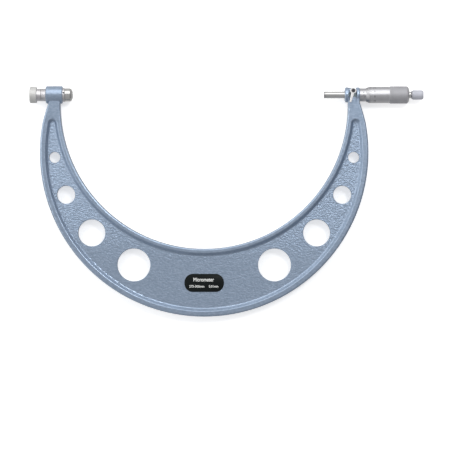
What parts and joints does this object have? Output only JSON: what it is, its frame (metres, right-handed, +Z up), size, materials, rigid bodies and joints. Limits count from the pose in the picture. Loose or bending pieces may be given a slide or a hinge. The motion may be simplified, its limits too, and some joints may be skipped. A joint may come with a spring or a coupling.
{
  "type": "outside micrometer",
  "caption": "Large outside micrometer lying flat: crescent frame, interchangeable anvil with draw screw, spindle head with clamp lever, thimble and ratchet.",
  "frame": {"origin": "centre of the anvil's measuring face", "axes": "+X along the measuring axis from the anvil towards the ratchet, +Y in the frame's plane away from the bow, +Z up, square to the frame's face, with the instrument lying flat"},
  "size_m": [0.4353, 0.2549, 0.0205],
  "materials": {
    "frame_paint": "glossy hammertone enamel, light grey-blue",
    "plate_black": "semi-gloss black with pale figures",
    "polished_steel": "ground and polished",
    "satin_steel": "turned, satin",
    "satin_chrome": "satin chrome plate",
    "knob_chrome": "matt chrome plate",
    "bright_chrome": "bright chrome plate",
    "black_steel": "blackened",
    "spring_steel": "spring temper",
    "hard_metal": "lapped hard metal"
  },
  "bodies": {
    "frame": {"frame": "frame_paint", "name_plate": "plate_black", "anvil_sleeve": "polished_steel", "anvil_key_screw": "black_steel", "sleeve_lock_ring": "satin_steel", "inner_sleeve": "satin_steel", "adjusting_nut": "satin_steel", "graduated_sleeve": "satin_chrome"},
    "anvil": {"anvil_body": "polished_steel", "anvil_tip": "hard_metal"},
    "draw_screw": {"draw_screw": "satin_steel", "draw_clip": "spring_steel"},
    "feed": {"thimble_washer": "spring_steel"},
    "spindle": {"spindle": "polished_steel", "spindle_tip": "hard_metal", "thimble": "satin_chrome", "ratchet_stud": "polished_steel", "ratchet_wheel": "satin_steel"},
    "ratchet": {"ratchet_knob": "knob_chrome", "ratchet_disc": "satin_steel", "ratchet_spring": "spring_steel", "ratchet_cap": "knob_chrome"},
    "clamp": {"clamp_stud": "satin_steel", "clamp_lever": "bright_chrome", "clamp_screw": "polished_steel"}
  },
  "joints": [
    {"name": "spindle_feed", "type": "slide", "parent": "frame", "child": "feed", "axis": [1, 0, 0], "range_m": [-0.003, 0.022]},
    {"name": "thimble_spin", "type": "hinge", "parent": "feed", "child": "spindle", "pos_m": [0.36, 0, 0], "axis": [1, 0, 0], "range_deg": [-2160, 15840]},
    {"name": "ratchet_spin", "type": "hinge", "parent": "spindle", "child": "ratchet", "pos_m": [0.38, 0, 0], "axis": [1, 0, 0], "continuous": true},
    {"name": "clamp_turn", "type": "hinge", "parent": "frame", "child": "clamp", "pos_m": [0.31, 0.0043, 0], "axis": [0, 0, 1], "range_deg": [0, 45]},
    {"name": "draw_spin", "type": "hinge", "parent": "frame", "child": "draw_screw", "pos_m": [-0.03, 0, 0], "axis": [-1, 0, 0], "range_deg": [0, 2160]},
    {"name": "anvil_draw", "type": "slide", "parent": "frame", "child": "anvil", "axis": [1, 0, 0], "range_m": [0, 0.0042]}
  ],
  "couplings": [
    {"joint": "thimble_spin", "follows": "spindle_feed", "rad_per_m": 12566},
    {"joint": "draw_spin", "follows": "anvil_draw", "rad_per_m": 8976}
  ]
}
